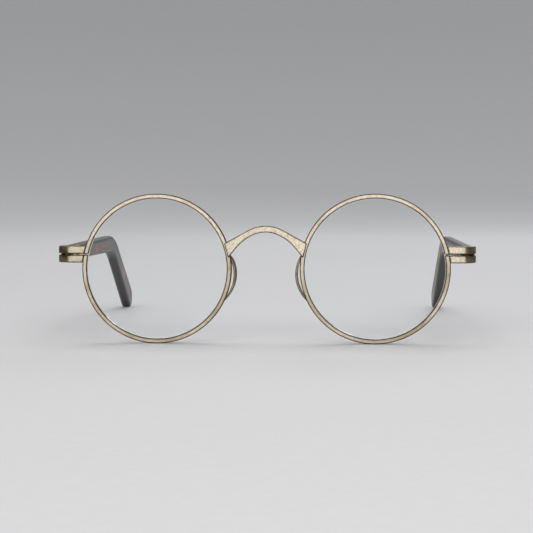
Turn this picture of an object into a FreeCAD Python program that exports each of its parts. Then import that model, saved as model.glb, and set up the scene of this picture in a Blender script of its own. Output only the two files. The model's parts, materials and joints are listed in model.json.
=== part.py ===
"""Round wire eyeglasses, standing open: X to the wearer's left, Y to the back, Z up, millimetres."""
import FreeCAD
import Part
import Sketcher
import math
import os

doc = FreeCAD.newDocument("round_wire_eyeglasses")

# ---------------------------------------------------------------- driving dimensions

DIMENSIONS = [
    # front
    ("nose_half", 10.8, "half the gap between the rims"),
    ("rim_outer", 23.8, "outer radius of a rim"),
    ("rim_face", 1.5, "width of the rim's front face"),
    ("rim_depth", 2.2, "front to back"),
    ("rim_chamfer", 0.2, "broken edges of the rim"),
    ("groove_half", 0.6, "half the width of the lens groove"),
    ("groove_deep", 0.65, "depth of the lens groove"),
    ("lens_gap", 0.1, "clearance round the lens"),
    ("lens_thick", 1.8, "lens thickness"),
    ("lens_curve", 130, "radius of the lens's front surface"),
    ("bevel_half", 0.5, "half the width of the lens bevel"),
    # bridge
    ("bridge_proud", 0.5, "how far the bridge stands in front of the rims"),
    ("bridge_deep", 2.0, "front to back"),
    ("bridge_band", 2.1, "width of the arched band"),
    ("bridge_flank", 29.0, "slope of the flanks, degrees"),
    ("crown_radius", 11.5, "outer radius of the crown"),
    ("foot_lap", 0.8, "how far a foot laps the rim's face"),
    ("foot_corner", 8.1, "upper outer corner of a foot, above the rim centres"),
    ("foot_tip", 3.5, "lowest point of a foot, above the rim centres"),
    ("foot_knee", 3.3, "inboard of the rim, where the underside turns down into the foot"),
    ("foot_knee_radius", 14.0, "radius of that turn"),
    # nose wings
    ("wing_top", 4.5, "upper end, above the rim centre"),
    ("wing_foot", 10.2, "lower end, below the rim centre"),
    ("wing_bulge", 1.5, "how far the wing stands off the rim"),
    ("wing_thick", 0.8, "sheet thickness"),
    ("wing_start", 0.5, "front edge, behind the rim's face"),
    ("wing_deep", 4.9, "front to back"),
    ("wing_slope_top", 1.5, "drop of the upper edge towards the back"),
    ("wing_slope_foot", 3.0, "rise of the lower edge towards the back"),
    ("wing_round", 2.0, "rounded back corners"),
    # endpieces
    ("hinge_rise", 4.5, "hinge line above the rim centres"),
    ("endpiece_out", 8.3, "how far an endpiece stands out beyond the rim"),
    ("rib_high", 2.35, "height of each rib"),
    ("rib_slot", 0.5, "slot between the ribs"),
    ("rib_thick", 2.0, "wall of the bent rib"),
    ("rib_bend", 5.0, "outer radius of the bend"),
    ("rib_inner_bend", 3.0, "inner radius of the bend"),
    ("rib_edge", 0.35, "rounded edges of the rib"),
    ("endpiece_back", 8.6, "butt face, behind the rim's face"),
    ("lock_screw_out", 2.6, "axis of the rim lock screw beyond the rim"),
    ("lock_screw_radius", 0.5, "shank of the rim lock screw"),
    ("lock_head_radius", 0.75, "sunk head of the rim lock screw"),
    ("lock_head_high", 0.5, "height of that head"),
    ("screw_slot", 0.25, "width of a screwdriver slot"),
    ("screw_slot_deep", 0.25, "depth of a screwdriver slot"),
    ("fixed_gap", 0.02, "clearance round a piece that stays put in another"),
    # hinges
    ("barrel_radius", 1.1, "outside of the hinge barrels"),
    ("barrel_clear", 0.1, "between the barrels and the temple's inner face"),
    ("side_barrel", 1.2, "height of an outer barrel"),
    ("middle_barrel", 1.6, "height of the middle barrel"),
    ("barrel_gap", 0.1, "running gap between barrels"),
    ("hinge_screw_radius", 0.6, "shank of the hinge screw"),
    ("turning_gap", 0.05, "clearance of the middle barrel round the screw"),
    ("hinge_head_radius", 1.0, "head of the hinge screw"),
    ("hinge_head_high", 0.4, "height of that head"),
    ("hinge_tail", 0.3, "screw end below the lowest barrel"),
    ("web_clear", 0.5, "between the web of the front leaf and the barrels"),
    ("web_long", 3.5, "length of that web"),
    ("arm_thick", 0.9, "arms from the web to the outer barrels"),
    ("neck_long", 1.0, "neck from the middle barrel into the temple, front to back"),
    ("leaf_thick", 0.7, "leaf inside the temple"),
    ("leaf_high", 3.0, "height of that leaf"),
    ("leaf_long", 7.4, "length of that leaf"),
    # temples
    ("butt_gap", 0.1, "gap between endpiece and temple"),
    ("temple_thick", 3.8, "temple thickness"),
    ("temple_front", 4.8, "height at the hinge"),
    ("temple_bend_high", 6.2, "height at the bend"),
    ("temple_tip_high", 8.4, "height at the tip"),
    ("temple_reach", 90.5, "hinge end to the corner of the bend"),
    ("temple_angle", 28.5, "bend, degrees"),
    ("bend_radius", 35.0, "centreline radius of the bend"),
    ("tip_round", 3.9, "rounded corners of the tip"),
    ("temple_edge", 1.1, "rounded long edges"),
    ("core_high", 1.6, "core wire height"),
    ("core_thick", 0.9, "core wire thickness"),
    ("core_short", 12.0, "acetate beyond the end of the core wire"),
]

dims = doc.addObject("Spreadsheet::Sheet", "dims")
for row, (alias, number, meaning) in enumerate(DIMENSIONS, start=1):
    dims.set(f"A{row}", meaning)
    dims.set(f"B{row}", str(number))
    dims.setAlias(f"B{row}", alias)
doc.recompute()

# Places that several parts share, written from the driving dimensions.
RIM_X = "(dims.nose_half + dims.rim_outer)"
RIM_BORE = "(dims.rim_outer - dims.rim_face)"
RIM_SIDE_X = "(dims.nose_half + 2 * dims.rim_outer)"
HALF_WIDTH = f"({RIM_SIDE_X} + dims.endpiece_out)"
HINGE_Z = "(dims.rim_outer + dims.hinge_rise)"
TEMPLE_Y = "(dims.endpiece_back + dims.butt_gap)"
TEMPLE_X = f"({HALF_WIDTH} - dims.temple_thick / 2)"
TEMPLE_INNER_X = f"({HALF_WIDTH} - dims.temple_thick)"
RIB_INNER_X = f"({HALF_WIDTH} - dims.rib_thick)"
AXIS_X = f"({TEMPLE_INNER_X} - dims.barrel_clear - dims.barrel_radius)"
AXIS_Y = "(dims.endpiece_back + dims.butt_gap / 2)"
LEAF_X = f"({TEMPLE_X} - dims.core_thick / 2 - dims.fixed_gap - dims.leaf_thick)"
RIBS_HALF = "(dims.rib_slot / 2 + dims.rib_high)"
BARRELS_HALF = "(dims.middle_barrel / 2 + dims.barrel_gap + dims.side_barrel)"
LENS_EDGE = f"({RIM_BORE} - dims.lens_gap)"
LENS_CENTRE_Y = (f"(dims.rim_depth / 2 - dims.lens_thick / 2"
                 f" + sqrt(dims.lens_curve ^ 2 - {LENS_EDGE} ^ 2))")
TURN = "(dims.temple_angle * 1deg)"
FLANK = "(dims.bridge_flank * 1deg)"
# The tip is as long as it takes for its rounded end to stand on the surface with the rims.
TIP_REACH = (f"(({HINGE_Z} - dims.tip_round - (dims.temple_tip_high / 2 - dims.tip_round) * cos({TURN}))"
             f" / sin({TURN}) + dims.tip_round)")
# The Y origin is half way from the lenses' bulge to the temples' ends.
BACK_Y = (f"({TEMPLE_Y} + dims.temple_reach + ({TIP_REACH} - dims.tip_round) * cos({TURN})"
          f" + (dims.temple_tip_high / 2 - dims.tip_round) * sin({TURN}) + dims.tip_round)")
MIDDLE_Y = f"(({LENS_CENTRE_Y} - dims.lens_curve + {BACK_Y}) / 2)"


def value(expression):
    """The number that an expression has now."""
    return float(dims.evalExpression(expression))


def bind(thing, **expressions):
    """Tie properties to the spreadsheet."""
    for name, expression in expressions.items():
        thing.setExpression(name, expression)


def place(thing, x="0", y="0", z="0"):
    """Tie where an object stands to the spreadsheet, with y counted from the rims' front face."""
    for axis, expression in zip("xyz", (x, f"{y} - {MIDDLE_Y}", z)):
        thing.setExpression(f"Placement.Base.{axis}", expression)


def origin_plane(body, role):
    return next(item for item in body.Origin.OriginFeatures if item.Role == role)


def outline(body, role, points, radii=None):
    """A closed sketch on an origin plane, its corners tied to expressions.

    radii gives, for the number of a corner, the radius of the arc from it to the next corner.
    The arc's centre lies to the left of the way the outline runs, or with a minus to the right.
    """
    radii = radii or {}
    sketch = body.newObject("Sketcher::SketchObject", f"{body.Name}_outline")
    sketch.AttachmentSupport = (origin_plane(body, role), [""])
    sketch.MapMode = "FlatFace"
    corners = [FreeCAD.Vector(value(u), value(v), 0) for u, v in points]
    total = len(corners)
    ends = []
    for number, start in enumerate(corners):
        end = corners[(number + 1) % total]
        if number in radii:
            size = value(radii[number].lstrip("-"))
            leftward = not radii[number].startswith("-")
            chord = end - start
            left = FreeCAD.Vector(-chord.y, chord.x, 0).normalize()
            away = math.sqrt(size ** 2 - (chord.Length / 2) ** 2)
            centre = (start + end) / 2 + left * (away if leftward else -away)
            first, last = (start, end) if leftward else (end, start)
            angles = [math.atan2(point.y - centre.y, point.x - centre.x) for point in (first, last)]
            circle = Part.Circle(centre, FreeCAD.Vector(0, 0, 1), size)
            index = sketch.addGeometry(Part.ArcOfCircle(circle, *angles))
            ends.append((index, 1, 2) if leftward else (index, 2, 1))
            fixed = sketch.addConstraint(Sketcher.Constraint("Radius", index, size))
            sketch.setExpression(f"Constraints[{fixed}]", radii[number].lstrip("-"))
        else:
            index = sketch.addGeometry(Part.LineSegment(start, end))
            ends.append((index, 1, 2))
    for number, (u, v) in enumerate(points):
        index, first, _ = ends[number]
        before, _, last = ends[number - 1]
        sketch.addConstraint(Sketcher.Constraint("Coincident", before, last, index, first))
        for kind, expression in (("DistanceX", u), ("DistanceY", v)):
            fixed = sketch.addConstraint(
                Sketcher.Constraint(kind, -1, 1, index, first, value(expression)))
            sketch.setExpression(f"Constraints[{fixed}]", expression)
    return sketch


def new_body(name):
    return doc.addObject("PartDesign::Body", name)


def pad(body, sketch, length, reverse=False, both=False):
    feature = body.newObject("PartDesign::Pad", f"{body.Name}_pad")
    feature.Profile = sketch
    feature.Reversed = reverse
    feature.Midplane = both
    bind(feature, Length=length)
    doc.recompute()
    return feature


def revolve(body, sketch):
    feature = body.newObject("PartDesign::Revolution", f"{body.Name}_turned")
    feature.Profile = sketch
    feature.ReferenceAxis = (sketch, ["V_Axis"])
    feature.Angle = 360
    doc.recompute()
    return feature


def dress(body, kind, choose, size):
    """Fillet or Chamfer the edges of the body that choose accepts."""
    base = body.Tip
    names = [f"Edge{number}" for number, edge in enumerate(base.Shape.Edges, start=1) if choose(edge)]
    feature = body.newObject(f"PartDesign::{kind}", f"{body.Name}_{kind.lower()}")
    feature.Base = (base, names)
    bind(feature, **{"Radius" if kind == "Fillet" else "Size": size})
    doc.recompute()
    return feature


def box(name, low, size):
    """A block from its lowest corner and its sizes, all expressions."""
    block = doc.addObject("Part::Box", name)
    bind(block, Length=size[0], Width=size[1], Height=size[2])
    place(block, *low)
    return block


def cylinder(name, foot, radius, height, axis="z"):
    """A round bar along z, or along y from the front to the back."""
    bar = doc.addObject("Part::Cylinder", name)
    turns = {
        "z": FreeCAD.Rotation(),
        "y": FreeCAD.Rotation(FreeCAD.Vector(1, 0, 0), -90),
    }
    bar.Placement = FreeCAD.Placement(FreeCAD.Vector(), turns[axis])
    bind(bar, Radius=radius, Height=height)
    place(bar, *foot)
    return bar


def joined(name, pieces):
    union = doc.addObject("Part::MultiFuse", name)
    union.Shapes = pieces
    union.Refine = True
    return union


def cut(name, base, tools):
    """The base less one or more tools."""
    difference = doc.addObject("Part::Cut", name)
    difference.Base = base
    difference.Tool = tools[0] if len(tools) == 1 else joined(f"{name}_tools", tools)
    return difference


def runs_along(edge, axis):
    """True for a straight edge that is parallel to the axis."""
    if not isinstance(edge.Curve, Part.Line):
        return False
    return abs(edge.Curve.Direction.dot(axis)) > 0.999


def middle_of(edge):
    return edge.valueAt((edge.FirstParameter + edge.LastParameter) / 2)


ALONG_X = FreeCAD.Vector(1, 0, 0)
ALONG_Y = FreeCAD.Vector(0, 1, 0)
ALONG_Z = FreeCAD.Vector(0, 0, 1)
NEAR = 0.01


# ---------------------------------------------------------------- rims, lenses, nose wings

def rim():
    """A turned ring with a V groove for the lens, split at the slot between the ribs."""
    body = new_body("rim_ring")
    bore, out, deep, bevel = RIM_BORE, "dims.rim_outer", "dims.rim_depth", "dims.rim_chamfer"
    middle = "dims.rim_depth / 2"
    profile = [
        (f"{bore} + {bevel}", "0"),
        (f"{out} - {bevel}", "0"),
        (out, bevel),
        (out, f"{deep} - {bevel}"),
        (f"{out} - {bevel}", deep),
        (f"{bore} + {bevel}", deep),
        (bore, f"{deep} - {bevel}"),
        (bore, f"{middle} + dims.groove_half"),
        (f"{bore} + dims.groove_deep", middle),
        (bore, f"{middle} - dims.groove_half"),
        (bore, bevel),
    ]
    revolve(body, outline(body, "XY_Plane", profile))
    place(body, RIM_X, "0", "dims.rim_outer")
    split = box("rim_split", (RIM_X, f"-{deep}", f"{HINGE_Z} - dims.rib_slot / 2"),
                ("2 * dims.rim_outer", f"3 * {deep}", "dims.rib_slot"))
    return cut("rim_left", body, [split])


def lens():
    """A clear meniscus lens with a V bevel that sits in the rim's groove."""
    body = new_body("lens_disc")
    edge = LENS_EDGE
    middle = "(dims.rim_depth / 2)"
    ahead = f"({LENS_CENTRE_Y} - dims.lens_curve - dims.lens_thick)"
    profile = [
        ("0", ahead),
        (edge, ahead),
        (edge, f"{middle} - dims.bevel_half"),
        (f"{edge} + dims.groove_deep - dims.lens_gap", middle),
        (edge, f"{middle} + dims.bevel_half"),
        (edge, f"{middle} + dims.lens_thick"),
        ("0", f"{middle} + dims.lens_thick"),
    ]
    revolve(body, outline(body, "XY_Plane", profile))
    place(body, RIM_X, "0", "dims.rim_outer")
    balls = []
    for name, radius in (("front", "dims.lens_curve"), ("back", "dims.lens_curve - dims.lens_thick")):
        ball = doc.addObject("Part::Sphere", f"lens_{name}_ball")
        bind(ball, Radius=radius)
        place(ball, RIM_X, LENS_CENTRE_Y, "dims.rim_outer")
        balls.append(ball)
    bulged = doc.addObject("Part::Common", "lens_bulged")
    bulged.Base = body
    bulged.Tool = balls[0]
    return cut("lens_left", bulged, [balls[1]])


def nose_wing():
    """A thin curved flange brazed behind the nose side of the rim."""
    body = new_body("wing_sheet")
    top_x = "(-sqrt(dims.rim_outer ^ 2 - dims.wing_top ^ 2))"
    foot_x = "(-sqrt(dims.rim_outer ^ 2 - dims.wing_foot ^ 2))"
    half_chord = "((dims.wing_top + dims.wing_foot) / 2)"
    sag = f"(dims.rim_outer - sqrt(dims.rim_outer ^ 2 - {half_chord} ^ 2) + dims.wing_bulge)"
    radius = f"(({half_chord} ^ 2 + {sag} ^ 2) / (2 * {sag}))"
    profile = [
        (top_x, "dims.wing_top"),
        (foot_x, "-dims.wing_foot"),
        (f"{foot_x} + dims.wing_thick", "-dims.wing_foot"),
        (f"{top_x} + dims.wing_thick", "dims.wing_top"),
    ]
    sketch = outline(body, "XZ_Plane", profile, {0: radius, 2: f"-{radius}"})
    pad(body, sketch, "dims.wing_deep", reverse=True)
    place(body, RIM_X, "dims.wing_start", "dims.rim_outer")

    side = new_body("wing_side")
    leaf = [
        ("0", "-dims.wing_foot"),
        ("dims.wing_deep", "-dims.wing_foot + dims.wing_slope_foot"),
        ("dims.wing_deep", "dims.wing_top - dims.wing_slope_top"),
        ("0", "dims.wing_top"),
    ]
    pad(side, outline(side, "YZ_Plane", leaf), RIM_X)
    back = value("dims.wing_deep")
    dress(side, "Fillet",
          lambda edge: runs_along(edge, ALONG_X) and abs(middle_of(edge).y - back) < NEAR,
          "dims.wing_round")
    place(side, "0", "dims.wing_start", "dims.rim_outer")
    shaped = doc.addObject("Part::Common", "wing_shaped")
    shaped.Base = body
    shaped.Tool = side
    bed = cylinder("wing_bed", (RIM_X, "0", "dims.rim_outer"),
                   "dims.rim_outer", "dims.rim_depth", axis="y")
    return cut("nose_wing_left", shaped, [bed])


# ---------------------------------------------------------------- bridge

def bridge():
    """An arched flat band whose feet lap the rims' front faces and butt on their outside."""
    body = new_body("bridge_band")
    lapped = "(dims.rim_outer - dims.foot_lap)"
    corner_x, tip_x = (f"({RIM_X} - sqrt({lapped} ^ 2 - {height} ^ 2))"
                       for height in ("dims.foot_corner", "dims.foot_tip"))
    knee_x = "(dims.nose_half - dims.foot_knee)"
    apex = f"(dims.foot_corner + {corner_x} * tan({FLANK}))"
    under = f"({apex} - dims.bridge_band / cos({FLANK}))"
    knee = f"({under} - {knee_x} * tan({FLANK}))"
    half = [(corner_x, "dims.foot_corner"), (tip_x, "dims.foot_tip"), (knee_x, knee)]
    mirrored = [(f"-{x}", z) for x, z in reversed(half)]
    sketch = outline(body, "XZ_Plane", [("0", apex)] + half + [("0", under)] + mirrored)
    pad(body, sketch, "dims.bridge_deep", reverse=True)

    def along_depth_at(x, z):
        return lambda edge: (runs_along(edge, ALONG_Y) and abs(abs(middle_of(edge).x) - x) < NEAR
                             and abs(middle_of(edge).z - z) < NEAR)

    dress(body, "Fillet", along_depth_at(0, value(apex)), "dims.crown_radius")
    dress(body, "Fillet", along_depth_at(0, value(under)), "dims.crown_radius - dims.bridge_band")
    dress(body, "Fillet", along_depth_at(value(knee_x), value(knee)),
          "dims.foot_knee_radius")
    dress(body, "Chamfer", lambda edge: abs(middle_of(edge).y) < NEAR
          and not runs_along(edge, ALONG_Y), "dims.rim_chamfer")
    place(body, "0", "-dims.bridge_proud", "dims.rim_outer")
    seats = [
        cylinder(f"bridge_seat_{side}", (f"{sign}{RIM_X}", "0", "dims.rim_outer"),
                 "dims.rim_outer", "dims.bridge_deep", axis="y")
        for side, sign in (("left", ""), ("right", "-"))
    ]
    return cut("bridge", body, seats)


# ---------------------------------------------------------------- endpieces

def rib(name, low, holes):
    """One of the two bent ribs between the rim and the hinge, with its screw holes cut out."""
    body = new_body(f"{name}_bar")
    start_x = f"({RIM_X} + dims.rim_outer / 2)"
    plan = [
        (start_x, "0"),
        (HALF_WIDTH, "0"),
        (HALF_WIDTH, "dims.endpiece_back"),
        (RIB_INNER_X, "dims.endpiece_back"),
        (RIB_INNER_X, "dims.rib_thick"),
        (start_x, "dims.rib_thick"),
    ]
    pad(body, outline(body, "XY_Plane", plan), "dims.rib_high")

    def upright_at(x, y):
        return lambda edge: (runs_along(edge, ALONG_Z) and abs(middle_of(edge).x - x) < NEAR
                             and abs(middle_of(edge).y - y) < NEAR)

    dress(body, "Fillet", upright_at(value(HALF_WIDTH), 0), "dims.rib_bend")
    dress(body, "Fillet", upright_at(value(RIB_INNER_X), value("dims.rib_thick")),
          "dims.rib_inner_bend")
    inner_x, outer_x = value(RIB_INNER_X), value(HALF_WIDTH)
    inner_bend = value("dims.rib_inner_bend") + NEAR

    def outside(edge):
        point = middle_of(edge)
        level = abs(edge.BoundBox.ZLength) < NEAR
        on_front = abs(point.y) < NEAR and point.x < inner_x
        on_side = abs(point.x - outer_x) < NEAR
        on_bend = isinstance(edge.Curve, Part.Circle) and edge.Curve.Radius > inner_bend
        return level and (on_front or on_side or on_bend)

    dress(body, "Fillet", outside, "dims.rib_edge")
    place(body, "0", "0", low)
    bed = cylinder(f"{name}_bed", (RIM_X, "-dims.rim_depth", "dims.rim_outer"),
                   "dims.rim_outer", "dims.rim_depth * 3", axis="y")
    return cut(name, body, [bed] + holes)


def screw(name, foot, shank, shank_long, head, head_high, head_on_top):
    """A slotted screw along z whose shank starts at foot."""
    x, y, z = foot
    bar = cylinder(f"{name}_shank", foot, shank, shank_long)
    head_z = f"{z} + {shank_long}" if head_on_top else f"{z} - {head_high}"
    cap = cylinder(f"{name}_head", (x, y, head_z), head, head_high)
    slot_z = f"{head_z} + {head_high} - dims.screw_slot_deep" if head_on_top else head_z
    slot = box(f"{name}_slot", (f"{x} - {head}", f"{y} - dims.screw_slot / 2", slot_z),
               (f"2 * {head}", "dims.screw_slot", "dims.screw_slot_deep"))
    return cut(name, joined(f"{name}_blank", [bar, cap]), [slot])


def endpiece():
    """The two ribs and the screw that draws them together and closes the rim."""
    screw_x = f"({RIM_SIDE_X} + dims.lock_screw_out)"
    screw_y = "dims.rib_thick / 2"
    foot_z = f"({HINGE_Z} - {RIBS_HALF})"
    slot_z = f"({HINGE_Z} - dims.rib_slot / 2)"
    upper_z = f"({HINGE_Z} + dims.rib_slot / 2)"

    def hole(name, low, radius, high):
        return cylinder(name, (screw_x, screw_y, low), f"dims.{radius} + dims.fixed_gap", high)

    upper = rib("endpiece_upper_left", upper_z,
                [hole("endpiece_upper_hole", slot_z, "lock_screw_radius", "2 * dims.rib_high")])
    lower = rib("endpiece_lower_left", foot_z,
                [hole("endpiece_lower_hole", foot_z, "lock_screw_radius", "2 * dims.rib_high"),
                 hole("endpiece_head_seat", foot_z, "lock_head_radius",
                      "dims.lock_head_high + dims.fixed_gap")])
    lock = screw("rim_lock_screw_left", (screw_x, screw_y, f"({foot_z} + dims.lock_head_high)"),
                 "dims.lock_screw_radius", f"(2 * {RIBS_HALF} - dims.lock_head_high)",
                 "dims.lock_head_radius", "dims.lock_head_high", head_on_top=False)
    return [upper, lower, lock]


# ---------------------------------------------------------------- hinges

def barrel(name, low, height, bore):
    outer = cylinder(f"{name}_outer", (AXIS_X, AXIS_Y, low), "dims.barrel_radius", height)
    inner = cylinder(f"{name}_bore", (AXIS_X, AXIS_Y, low), bore, height)
    return outer, inner


def hinge_front():
    """The leaf brazed inside the endpiece, with the two outer barrels."""
    levels = [f"{HINGE_Z} - {BARRELS_HALF}",
              f"{HINGE_Z} + dims.middle_barrel / 2 + dims.barrel_gap"]
    web_x = f"({AXIS_X} + dims.barrel_radius + dims.web_clear)"
    web = box("hinge_front_web", (web_x, "dims.endpiece_back - dims.web_long", levels[0]),
              (f"{RIB_INNER_X} - {web_x}", "dims.web_long", f"2 * {BARRELS_HALF}"))
    solids = [web]
    bores = []
    for number, level in enumerate(levels, start=1):
        arm = box(f"hinge_front_arm_{number}", (AXIS_X, f"{AXIS_Y} - dims.barrel_radius", level),
                  (f"{RIB_INNER_X} - {AXIS_X}", "dims.arm_thick", "dims.side_barrel"))
        outer, inner = barrel(f"hinge_front_barrel_{number}", level, "dims.side_barrel",
                              "dims.hinge_screw_radius + dims.fixed_gap")
        solids += [arm, outer]
        bores.append(inner)
    return cut("hinge_front_left", joined("hinge_front_blank", solids), bores)


def sunk_leaf(name, gap):
    """The neck and the leaf that lie in the temple, or with a gap the slot that they fill."""
    neck = box(f"{name}_neck",
               (AXIS_X, f"{TEMPLE_Y} - {gap}", f"{HINGE_Z} - dims.middle_barrel / 2 - {gap}"),
               (f"{LEAF_X} + dims.leaf_thick - {AXIS_X}", f"dims.neck_long + 2 * {gap}",
                f"dims.middle_barrel + 2 * {gap}"))
    leaf = box(f"{name}_leaf",
               (f"{LEAF_X} - {gap}", f"{TEMPLE_Y} - {gap}", f"{HINGE_Z} - dims.leaf_high / 2 - {gap}"),
               (f"dims.leaf_thick + 2 * {gap}", f"dims.leaf_long + 2 * {gap}",
                f"dims.leaf_high + 2 * {gap}"))
    return [neck, leaf]


def hinge_temple():
    """The middle barrel, with the leaf that is sunk into the temple beside the core wire."""
    outer, inner = barrel("hinge_temple_barrel", f"{HINGE_Z} - dims.middle_barrel / 2",
                          "dims.middle_barrel", "dims.hinge_screw_radius + dims.turning_gap")
    blank = joined("hinge_temple_blank", [outer] + sunk_leaf("hinge_temple", "0"))
    return cut("hinge_temple_left", blank, [inner])


def hinge_screw():
    return screw("hinge_screw_left", (AXIS_X, AXIS_Y, f"{HINGE_Z} - {BARRELS_HALF} - dims.hinge_tail"),
                 "dims.hinge_screw_radius", f"(2 * {BARRELS_HALF} + dims.hinge_tail)",
                 "dims.hinge_head_radius", "dims.hinge_head_high", head_on_top=True)


# ---------------------------------------------------------------- temples

def bent_bar(body, front, bend, tip, reach, tip_reach, thick):
    """A bar in the YZ plane: straight, bent down at its corner, then on to its tip."""
    lean = f"tan({TURN} / 2)"
    end_y = f"({reach} + {tip_reach} * cos({TURN}))"
    end_z = f"(-({tip_reach}) * sin({TURN}))"
    points = [
        ("0", f"-{front} / 2"),
        (f"{reach} - {bend} / 2 * {lean}", f"-{bend} / 2"),
        (f"{end_y} - {tip} / 2 * sin({TURN})", f"{end_z} - {tip} / 2 * cos({TURN})"),
        (f"{end_y} + {tip} / 2 * sin({TURN})", f"{end_z} + {tip} / 2 * cos({TURN})"),
        (f"{reach} + {bend} / 2 * {lean}", f"{bend} / 2"),
        ("0", f"{front} / 2"),
    ]
    pad(body, outline(body, "YZ_Plane", points), thick, both=True)

    def across_at(corner):
        y, z = (value(part) for part in points[corner])
        return lambda edge: (runs_along(edge, ALONG_X) and abs(middle_of(edge).y - y) < NEAR
                             and abs(middle_of(edge).z - z) < NEAR)

    dress(body, "Fillet", across_at(1), f"dims.bend_radius - {bend} / 2")
    dress(body, "Fillet", across_at(4), f"dims.bend_radius + {bend} / 2")
    return across_at


def core_bar(name, gap):
    """The core wire, or with a gap the channel that it lies in."""
    body = new_body(name)
    high = f"(dims.core_high + {gap})"
    bent_bar(body, high, high, high, "dims.temple_reach", f"({TIP_REACH} - dims.core_short + {gap})",
             f"dims.core_thick + {gap}")
    place(body, TEMPLE_X, TEMPLE_Y, HINGE_Z)
    return body


def temple():
    """The acetate side piece with its paddle tip, and the wire inside it."""
    body = new_body("temple_blank")
    across_at = bent_bar(body, "dims.temple_front", "dims.temple_bend_high", "dims.temple_tip_high",
                         "dims.temple_reach", TIP_REACH, "dims.temple_thick")
    for corner in (2, 3):
        dress(body, "Fillet", across_at(corner), "dims.tip_round")

    def long_edge(edge):
        point = middle_of(edge)
        return edge.BoundBox.XLength < NEAR and point.y > NEAR

    dress(body, "Fillet", long_edge, "dims.temple_edge")
    place(body, TEMPLE_X, TEMPLE_Y, HINGE_Z)
    slot = sunk_leaf("temple_slot", "dims.fixed_gap")
    channel = core_bar("temple_channel", "2 * dims.fixed_gap")
    core = core_bar("temple_core_left", "0")
    return [cut("temple_left", body, [channel] + slot), core]


# ---------------------------------------------------------------- the whole pair

left_parts = [rim(), lens(), nose_wing()]
left_parts += endpiece()
left_parts += [hinge_front(), hinge_screw(), hinge_temple()]
left_parts += temple()

parts = [bridge()] + left_parts
for part in left_parts:
    twin = doc.addObject("Part::Mirroring", part.Name.replace("_left", "_right"))
    twin.Source = part
    twin.Normal = ALONG_X
    parts.append(twin)
doc.recompute()

for item in doc.Objects:
    if "Invalid" in item.State or "Error" in item.State:
        raise RuntimeError(f"{item.Name} did not build: {item.State}")

os.makedirs("parts", exist_ok=True)
for part in parts:
    part.Label = part.Name
    shape = part.Shape
    if shape.isNull() or not shape.isValid():
        raise RuntimeError(f"{part.Name} has no valid shape")
    shape.exportStep(os.path.join("parts", f"{part.Name}.step"))
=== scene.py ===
import json
import math

import bpy
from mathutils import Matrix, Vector


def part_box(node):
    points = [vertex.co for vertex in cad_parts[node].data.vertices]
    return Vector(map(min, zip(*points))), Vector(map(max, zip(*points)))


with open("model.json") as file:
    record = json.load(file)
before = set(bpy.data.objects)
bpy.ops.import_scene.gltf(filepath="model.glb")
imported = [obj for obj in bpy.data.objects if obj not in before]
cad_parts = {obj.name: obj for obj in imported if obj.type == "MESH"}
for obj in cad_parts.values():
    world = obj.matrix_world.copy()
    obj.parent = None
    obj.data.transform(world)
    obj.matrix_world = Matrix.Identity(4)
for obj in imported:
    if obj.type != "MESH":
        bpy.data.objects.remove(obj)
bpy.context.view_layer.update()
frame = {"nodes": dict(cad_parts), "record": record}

# ---------------------------------------------------------------- measures from the frame

MM = 0.001

rim_low, rim_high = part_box("rim_left")
RIM_X = (rim_low.x + rim_high.x) / 2
RIM_Z = (rim_low.z + rim_high.z) / 2
FRONT_Y = rim_low.y
RIM_OUTSIDE = rim_high.z - RIM_Z
RIM_FACE = 1.5 * MM
joints = {joint["name"]: joint for joint in frame["record"]["behaviour"]["joints"]}
HINGE = Vector(joints["left_temple_fold"]["pos_m"])
temple_low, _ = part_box("temple_left")

# The temple's bend: where its two straight stretches would meet, and how far it turns down.
TEMPLE_REACH = 90.5 * MM
BEND_Y = temple_low.y + TEMPLE_REACH
BEND_TURN = math.radians(28.5)


# ---------------------------------------------------------------- camera

IMAGE_SIDE = 533
SENSOR = 36.0
PIXELS_PER_MM = 3.16
DISTANCE = 0.45
AZIMUTH = math.radians(2.5)
ELEVATION = math.radians(3.0)
TARGET_ASIDE = 0.3 * MM
TARGET_UP = 0.8 * MM
TARGET = Vector((TARGET_ASIDE, FRONT_Y, RIM_Z + TARGET_UP))


def make_camera():
    """Looks at the front from just above the floor, turned to one side as in the photograph."""
    data = bpy.data.cameras.new("camera")
    data.sensor_width = SENSOR
    data.lens = PIXELS_PER_MM / MM * DISTANCE * SENSOR / IMAGE_SIDE
    data.clip_start = 0.01
    data.clip_end = 50
    camera = bpy.data.objects.new("camera", data)
    bpy.context.scene.collection.objects.link(camera)
    back = Vector((math.sin(AZIMUTH) * math.cos(ELEVATION),
                   -math.cos(AZIMUTH) * math.cos(ELEVATION),
                   math.sin(ELEVATION)))
    camera.location = TARGET + back * DISTANCE
    camera.rotation_mode = "QUATERNION"
    camera.rotation_quaternion = (-back).to_track_quat("-Z", "Y")
    bpy.context.scene.camera = camera


make_camera()


# ---------------------------------------------------------------- node helpers

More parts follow.
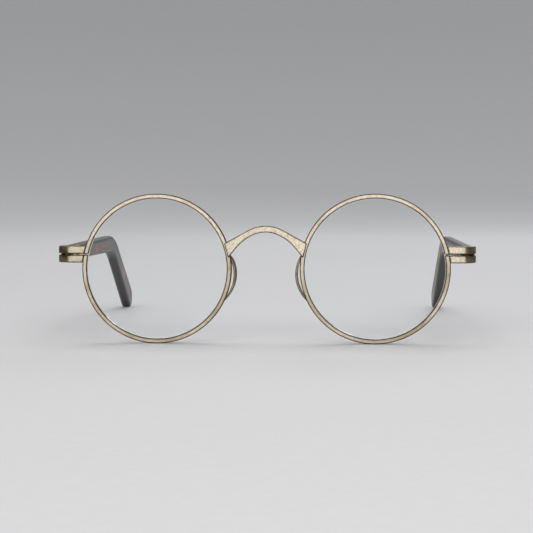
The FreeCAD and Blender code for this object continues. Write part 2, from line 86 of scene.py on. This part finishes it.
class Surface:
    """A material whose nodes are made and joined by short calls."""

    def __init__(self, name):
        self.material = bpy.data.materials.new(name)
        self.material.use_nodes = True
        self.nodes = self.material.node_tree.nodes
        self.links = self.material.node_tree.links
        self.shader = self.nodes["Principled BSDF"]

    def node(self, kind, **settings):
        made = self.nodes.new(kind)
        for key, setting in settings.items():
            setattr(made, key, setting)
        return made

    def feed(self, socket, source):
        """Joins a socket to an output, or sets its plain value."""
        if isinstance(source, bpy.types.NodeSocket):
            self.links.new(source, socket)
        else:
            socket.default_value = source

    def math(self, operation, *terms, clamp=False):
        made = self.node("ShaderNodeMath", operation=operation, use_clamp=clamp)
        for socket, term in zip(made.inputs, terms):
            self.feed(socket, term)
        return made.outputs[0]

    def split(self, vector):
        made = self.node("ShaderNodeSeparateXYZ")
        self.feed(made.inputs[0], vector)
        return made.outputs

    def join(self, *parts):
        made = self.node("ShaderNodeCombineXYZ")
        for socket, part in zip(made.inputs, parts):
            self.feed(socket, part)
        return made.outputs[0]

    def position(self):
        """Where a point is at rest, in metres."""
        return self.node("ShaderNodeTexCoord").outputs["Object"]

    def normal(self):
        """Which way the surface faces at rest."""
        return self.node("ShaderNodeTexCoord").outputs["Normal"]

    def noise(self, vector, scale, detail=3.0, roughness=0.5, distortion=0.0):
        made = self.node("ShaderNodeTexNoise")
        for name, source in (("Vector", vector), ("Scale", scale), ("Detail", detail),
                             ("Roughness", roughness), ("Distortion", distortion)):
            self.feed(made.inputs[name], source)
        return made.outputs["Fac"]

    def step(self, source, low, high, to_low=0.0, to_high=1.0, smooth=True):
        """Maps low..high of a value to another stretch, held at both ends."""
        kind = "SMOOTHSTEP" if smooth else "LINEAR"
        made = self.node("ShaderNodeMapRange", interpolation_type=kind)
        for socket, term in zip(made.inputs, (source, low, high, to_low, to_high)):
            self.feed(socket, term)
        return made.outputs[0]

    def ramp(self, source, stops):
        """A colour ramp from (position, colour) stops."""
        made = self.node("ShaderNodeValToRGB")
        self.feed(made.inputs[0], source)
        band = made.color_ramp
        while len(band.elements) < len(stops):
            band.elements.new(1.0)
        for element, (place, colour) in zip(band.elements, stops):
            element.position = place
            element.color = (*colour, 1.0)
        return made.outputs[0]

    def mix(self, factor, first, second):
        """The first colour where factor is 0, the second where it is 1."""
        made = self.node("ShaderNodeMix", data_type="RGBA")
        self.feed(made.inputs[0], factor)
        for socket, colour in ((made.inputs[6], first), (made.inputs[7], second)):
            is_socket = isinstance(colour, bpy.types.NodeSocket)
            self.feed(socket, colour if is_socket else (*colour, 1.0))
        return made.outputs[2]

    def pick(self, factor, first, second):
        """The first vector where factor is 0, the second where it is 1."""
        made = self.node("ShaderNodeMix", data_type="VECTOR")
        self.feed(made.inputs[0], factor)
        self.feed(made.inputs[4], first)
        self.feed(made.inputs[5], second)
        return made.outputs[1]

    def bump(self, height, distance, strength=1.0):
        made = self.node("ShaderNodeBump")
        self.feed(made.inputs["Strength"], strength)
        self.feed(made.inputs["Distance"], distance)
        self.feed(made.inputs["Height"], height)
        self.feed(self.shader.inputs["Normal"], made.outputs[0])

    def set(self, **sockets):
        for name, source in sockets.items():
            self.feed(self.shader.inputs[name.replace("_", " ")], source)


# ---------------------------------------------------------------- materials

PALE_GOLD = (0.93, 0.83, 0.67)
WARM_GOLD = (0.50, 0.405, 0.255)
BRONZE = (0.200, 0.168, 0.105)
# Dark patina on walls, and also the colour of the painted shade along edges.
PATINA_AND_SHADE = (0.026, 0.019, 0.012)

# How far in from an edge the painted shade reaches.
EDGE_WIDTH = 0.62 * MM
# Painted shade of a rounded face: a rim's face keeps its bright colour this near its middle circle, and
# is painted dark beyond the second distance.
FACE_LIT_WITHIN = RIM_FACE * 0.24
FACE_SHADED_BEYOND = RIM_FACE * 0.44
SPECKLE_SHIFT = 0.05 * MM
# Metal outside the rim's circle, or in front of its face, is bridge or endpiece.
PAST_RIM = 0.05 * MM
AHEAD_OF_RIM = 0.1 * MM
# Between these depths behind the rims' front the polish fades.
FADE_FROM = 0.3 * MM
FADE_TO = 0.5 * MM
# The angle round a rim times this length, about its radius, gives the place along its brushing.
ROUND_GRAIN = 24 * MM
BRUSH_HEIGHT = 0.014 * MM
GRAIN_SCALE = 620.0
SPECKLE_SCALE = 1900.0
CLOUD_SCALE = 150.0
DRIFT_SCALE = 55.0


def brushing(brass, x, y, z):
    """Grain that runs round the rims and slantwise elsewhere, the slanted mask, and the radius."""
    from_rim_x = brass.math("SUBTRACT", brass.math("ABSOLUTE", x), RIM_X)
    from_rim_z = brass.math("SUBTRACT", z, RIM_Z)
    around = brass.math("ARCTAN2", from_rim_z, from_rim_x)
    squares = brass.math("ADD", brass.math("MULTIPLY", from_rim_x, from_rim_x),
                         brass.math("MULTIPLY", from_rim_z, from_rim_z))
    out = brass.math("SQRT", squares)
    round_place = brass.join(brass.math("MULTIPLY", around, ROUND_GRAIN),
                             brass.math("MULTIPLY", out, 6.0),
                             brass.math("MULTIPLY", x, 0.1))
    slant_place = brass.join(brass.math("ADD", x, brass.math("MULTIPLY", z, 0.8)),
                             brass.math("MULTIPLY", brass.math("SUBTRACT", z, x), 4.0),
                             brass.math("MULTIPLY", y, 4.0))
    off_rim = brass.math("GREATER_THAN", out, RIM_OUTSIDE + PAST_RIM)
    proud = brass.math("LESS_THAN", y, FRONT_Y - AHEAD_OF_RIM)
    slanted = brass.math("MAXIMUM", off_rim, proud)
    place = brass.pick(slanted, round_place, slant_place)
    grain = brass.noise(place, GRAIN_SCALE, detail=4.0, roughness=0.7)
    return grain, slanted, out


def painted_edge_shade(brass, speckle, slanted, out):
    """Painted shade: 1 away from edges and on the middle of the rims' faces, 0 where shade is painted
    along edges and towards the sides of the rims' faces.
    """
    softened = brass.node("ShaderNodeBevel", samples=6)
    brass.feed(softened.inputs["Radius"], EDGE_WIDTH)
    alike = brass.node("ShaderNodeVectorMath", operation="DOT_PRODUCT")
    brass.feed(alike.inputs[0], softened.outputs[0])
    brass.feed(alike.inputs[1], brass.node("ShaderNodeNewGeometry").outputs["Normal"])
    ragged = brass.step(speckle, 0.3, 0.7, -0.015, 0.015)
    off_edge = brass.math("ADD", alike.outputs["Value"], ragged)
    face_middle = RIM_OUTSIDE - RIM_FACE / 2
    from_middle = brass.math("ABSOLUTE", brass.math("SUBTRACT", out, face_middle))
    shifted = brass.math("ADD", from_middle,
                         brass.step(speckle, 0.3, 0.7, -SPECKLE_SHIFT, SPECKLE_SHIFT))
    face_middle_lit = brass.step(shifted, FACE_LIT_WITHIN, FACE_SHADED_BEYOND, 1.0, 0.0)
    return brass.math("MINIMUM", brass.step(off_edge, 0.94, 0.999),
                      brass.math("MAXIMUM", slanted, face_middle_lit))


def polish_and_light(brass, unshaded, y):
    """1 on faces that look forward and lie outside the painted edge shade, less on those behind the rims'
    front.
    """
    ahead = brass.math("MULTIPLY", brass.split(brass.normal())[1], -1.0)
    flat = brass.step(ahead, 0.945, 0.997)
    forward = brass.step(y, FRONT_Y + FADE_FROM, FRONT_Y + FADE_TO, 1.0, 0.35)
    return brass.math("MULTIPLY", brass.math("MULTIPLY", unshaded, flat), forward)


def antique_brass():
    """Brushed pale faces at the front, painted shade along edges, and dark patina on walls that turn
    away.
    """
    brass = Surface("antique_brass")
    x, y, z = brass.split(brass.position())
    grain, slanted, out = brushing(brass, x, y, z)
    speckle = brass.noise(brass.position(), SPECKLE_SCALE, detail=2.0)
    clouds = brass.noise(brass.position(), CLOUD_SCALE, detail=4.0, roughness=0.6)
    # Painted shade: dark along edges and towards the sides of the rims' faces.
    unshaded = painted_edge_shade(brass, speckle, slanted, out)
    polished_and_lit = polish_and_light(brass, unshaded, y)

    # Painted shade: the top is painted paler and the bottom half more golden and duller, as with light
    # from above, varied in broad random drifts.
    broad = brass.noise(brass.position(), DRIFT_SCALE, detail=2.0)
    painted_lower_shade = brass.step(z, RIM_Z - RIM_OUTSIDE, RIM_Z + RIM_OUTSIDE, 0.45, -0.30)
    lower_shade_and_drift = brass.math("ADD", painted_lower_shade, brass.step(broad, 0.35, 0.65, -0.25, 0.45), clamp=True)
    face = brass.mix(lower_shade_and_drift, PALE_GOLD, WARM_GOLD)
    face = brass.mix(brass.step(clouds, 0.45, 0.72, 0.0, 0.6), face, WARM_GOLD)
    face = brass.mix(brass.step(grain, 0.48, 0.68, 0.0, 0.70), face, BRONZE)
    wall = brass.mix(brass.step(clouds, 0.40, 0.66), BRONZE, PATINA_AND_SHADE)
    wall = brass.mix(brass.step(speckle, 0.55, 0.8, 0.0, 0.4), wall, WARM_GOLD)
    # Painted shade: walls take the darkest patina colour near edges.
    wall = brass.mix(unshaded, PATINA_AND_SHADE, wall)

    face_rough = brass.step(grain, 0.3, 0.75, 0.28, 0.46)
    wall_rough = brass.step(clouds, 0.3, 0.7, 0.36, 0.58)
    keep = brass.math("MULTIPLY", polished_and_lit, face_rough)
    rest = brass.math("MULTIPLY", brass.math("SUBTRACT", 1.0, polished_and_lit), wall_rough)
    # Painted shade: faces take the darker wall colour where the edge shade is painted.
    brass.set(Base_Color=brass.mix(polished_and_lit, wall, face), Metallic=1.0,
              Roughness=brass.math("ADD", keep, rest))
    brass.bump(brass.math("ADD", grain, brass.math("MULTIPLY", speckle, 0.4)), BRUSH_HEIGHT, 0.6)
    return brass.material


def small_metal(name, bright, dull, scale, rough):
    """Turned or stamped small parts, dulled in patches."""
    metal = Surface(name)
    clouds = metal.noise(metal.position(), scale, detail=4.0, roughness=0.6)
    fine = metal.noise(metal.position(), scale * 9, detail=2.0)
    metal.set(Base_Color=metal.mix(metal.step(clouds, 0.35, 0.7), bright, dull), Metallic=1.0,
              Roughness=metal.step(fine, 0.3, 0.7, rough, rough + 0.16))
    metal.bump(fine, 0.01 * MM, 0.4)
    return metal.material


# How much colour the photograph shows along each temple: (mm past the bend, amount).
LEFT_COLOUR = [(-92, 0.55), (-86, 0.85), (-78, 0.70), (-74, 0.25), (-68, 0.55), (-57, 0.60), (-50, 0.05),
               (-44, 0.35), (-35, 0.60), (-30, 0.0), (-12, 0.0), (-6, 0.22), (-1, 0.0), (8, 0.75),
               (13, 0.0), (24, 0.0), (29, 0.45), (33, 0.0), (40, 0.45), (54, 0.80)]
RIGHT_COLOUR = [(-92, 0.45), (-84, 0.58), (-75, 0.72), (-66, 0.45), (-58, 0.10), (-46, 0.42), (-36, 0.05),
                (-18, 0.40), (-8, 0.0), (8, 0.0), (20, 0.0), (27, 0.45), (32, 0.40), (36, 0.0),
                (42, 0.40), (47, 0.10), (54, 0.15)]
COLOUR_START = -92
COLOUR_LONG = 146

# The streaks turn from one straight stretch to the other within this distance of the bend.
BEND_BLEND = 8 * MM
STREAK_SCALE = 250.0
SHELL_GRAIN_SCALE = 500.0
SHELL_RELIEF = 0.02 * MM

ACETATE = [
    (0.00, (0.005, 0.004, 0.004)),
    (0.575, (0.012, 0.007, 0.006)),
    (0.622, (0.055, 0.009, 0.009)),
    (0.675, (0.190, 0.022, 0.018)),
    (0.735, (0.450, 0.085, 0.026)),
    (0.80, (0.800, 0.340, 0.095)),
]


def along_temple(shell, y, z):
    """How far a point lies along a temple past its bend, and above its middle line."""
    along = shell.math("SUBTRACT", y, BEND_Y)
    above = shell.math("SUBTRACT", z, HINGE.z)
    cos = math.cos(BEND_TURN)
    sin = math.sin(BEND_TURN)
    tip_along = shell.math("SUBTRACT", shell.math("MULTIPLY", along, cos),
                           shell.math("MULTIPLY", above, sin))
    tip_above = shell.math("ADD", shell.math("MULTIPLY", along, sin),
                           shell.math("MULTIPLY", above, cos))
    past = shell.step(along, -BEND_BLEND, BEND_BLEND)
    before = shell.math("SUBTRACT", 1.0, past)

    def blend(straight, bent):
        return shell.math("ADD", shell.math("MULTIPLY", straight, before),
                          shell.math("MULTIPLY", bent, past))

    return blend(along, tip_along), blend(above, tip_above)


def colour_amount(shell, s, stops):
    """How much colour a list of (mm, amount) stops gives at a place along the temple."""
    place = shell.step(s, COLOUR_START * MM, (COLOUR_START + COLOUR_LONG) * MM, smooth=False)
    return shell.ramp(place, [((mm - COLOUR_START) / COLOUR_LONG, (part,) * 3)
                              for mm, part in stops])


def tortoiseshell():
    """Dark brown acetate with red, orange and amber streaks that follow the temple's bend."""
    shell = Surface("tortoiseshell_acetate")
    x, y, z = shell.split(shell.position())
    s, v = along_temple(shell, y, z)
    is_left = shell.math("GREATER_THAN", x, 0.0)
    colour_here = shell.mix(is_left, colour_amount(shell, s, RIGHT_COLOUR),
                            colour_amount(shell, s, LEFT_COLOUR))
    # The sheet is stretched along the temple, so its streaks are long and thin.
    streak_place = shell.join(x, shell.math("MULTIPLY", s, 0.15), shell.math("MULTIPLY", v, 2.1))
    streaks = shell.noise(streak_place, STREAK_SCALE, detail=6.0, roughness=0.64, distortion=0.5)
    middle = shell.step(shell.math("ABSOLUTE", v), 0.4 * MM, 2.9 * MM, 0.06, -0.10)
    level = shell.math("ADD", streaks, shell.math("MULTIPLY", colour_here, 0.20))
    level = shell.math("ADD", level, middle)
    shell.set(Base_Color=shell.ramp(level, ACETATE),
              Roughness=shell.step(streaks, 0.3, 0.7, 0.30, 0.38), IOR=1.49,
              Coat_Weight=0.1, Coat_Roughness=0.2)
    shell.bump(shell.noise(shell.position(), SHELL_GRAIN_SCALE, detail=3.0), SHELL_RELIEF, 0.35)
    return shell.material


# Lower than glass: it stands for the anti-reflection coat of a lens that shows no glare.
LENS_IOR = 1.22


def clear_lens():
    """A clear lens with the faintest unevenness of one that is handled."""
    lens = Surface("clear_lens")
    smear = lens.noise(lens.position(), 90.0, detail=5.0, roughness=0.6)
    lens.set(Base_Color=lens.mix(smear, (0.985, 0.99, 0.99), (0.965, 0.98, 0.975)),
             Roughness=lens.step(smear, 0.45, 0.8, 0.0, 0.03), IOR=LENS_IOR,
             Transmission_Weight=1.0)
    return lens.material


def dress_frame():
    """Gives every CAD node the finish of its material slot."""
    finishes = {
        "antique_brass": antique_brass(),
        "hinge_metal": small_metal("hinge_brass", (0.46, 0.36, 0.22), (0.16, 0.12, 0.07),
                                   420.0, 0.3),
        "screw_steel": small_metal("screw_metal", (0.55, 0.48, 0.36), (0.25, 0.2, 0.14),
                                   600.0, 0.24),
        "core_wire": small_metal("core_nickel", (0.6, 0.59, 0.56), (0.4, 0.39, 0.36),
                                 300.0, 0.3),
        "tortoiseshell_acetate": tortoiseshell(),
        "lens": clear_lens(),
    }
    for entry in frame["record"]["subparts"]:
        mesh = frame["nodes"][entry["node"]].data
        mesh.materials.clear()
        mesh.materials.append(finishes[entry["material_slot"]])


dress_frame()


# ---------------------------------------------------------------- floor and light

FLOOR_MIDDLE = 0.25
FLOOR_FLAT = 1.2
FLOOR_SWEEP = 3.0
AROUND = 96
SWEEP_STEPS = 24


def bowl_mesh():
    """A flat disc whose rim sweeps up into an upright wall."""
    profile = [(FLOOR_MIDDLE, 0.0), (FLOOR_FLAT, 0.0)]
    for step in range(1, SWEEP_STEPS + 1):
        turn = math.pi / 2 * step / SWEEP_STEPS
        profile.append((FLOOR_FLAT + FLOOR_SWEEP * math.sin(turn),
                        FLOOR_SWEEP * (1 - math.cos(turn))))
    points = [(0.0, 0.0, 0.0)]
    for radius, height in profile:
        for number in range(AROUND):
            turn = 2 * math.pi * number / AROUND
            points.append((radius * math.cos(turn), radius * math.sin(turn), height))
    faces = [(0, 1 + number, 1 + (number + 1) % AROUND) for number in range(AROUND)]
    for ring in range(len(profile) - 1):
        low = 1 + ring * AROUND
        high = low + AROUND
        for number in range(AROUND):
            after = (number + 1) % AROUND
            faces.append((low + number, high + number, high + after, low + after))
    mesh = bpy.data.meshes.new("floor")
    mesh.from_pydata(points, [], faces)
    mesh.shade_smooth()
    return mesh


def make_floor():
    """A plain pale floor that sweeps up into a wall all round, so no view has a horizon."""
    mesh = bowl_mesh()
    floor = bpy.data.objects.new("floor", mesh)
    bpy.context.scene.collection.objects.link(floor)
    paper = Surface("floor_paper")
    grain = paper.noise(paper.position(), 300.0, detail=4.0)
    paper.set(Base_Color=paper.mix(grain, (0.39, 0.39, 0.40), (0.42, 0.42, 0.43)), Roughness=0.8)
    mesh.materials.append(paper.material)


def make_light(name, place, wide, high, power, colour):
    """A soft box that faces the glasses."""
    data = bpy.data.lights.new(name, "AREA")
    data.shape = "RECTANGLE"
    data.size = wide
    data.size_y = high
    data.energy = power
    data.color = colour
    light = bpy.data.objects.new(name, data)
    bpy.context.scene.collection.objects.link(light)
    light.location = place
    light.rotation_mode = "QUATERNION"
    light.rotation_quaternion = (TARGET - Vector(place)).to_track_quat("-Z", "Y")


def make_world():
    """Even pale light from all round."""
    world = bpy.data.worlds.new("studio")
    bpy.context.scene.world = world
    world.use_nodes = True
    background = world.node_tree.nodes["Background"]
    background.inputs["Color"].default_value = (0.80, 0.81, 0.82, 1.0)
    background.inputs["Strength"].default_value = 1.0


make_floor()
make_light("overhead", place=(0.0, 0.5, 2.1), wide=1.9, high=1.5, power=24.0,
           colour=(1.0, 0.99, 0.97))
make_light("front_panel", place=(0.0, -1.1, 0.62), wide=1.4, high=0.45, power=13.5,
           colour=(1.0, 0.98, 0.95))
make_light("back_panel", place=(0.3, 1.2, 0.8), wide=0.9, high=0.4, power=4.0,
           colour=(0.97, 0.98, 1.0))
make_world()
bpy.context.scene.view_settings.view_transform = "Standard"
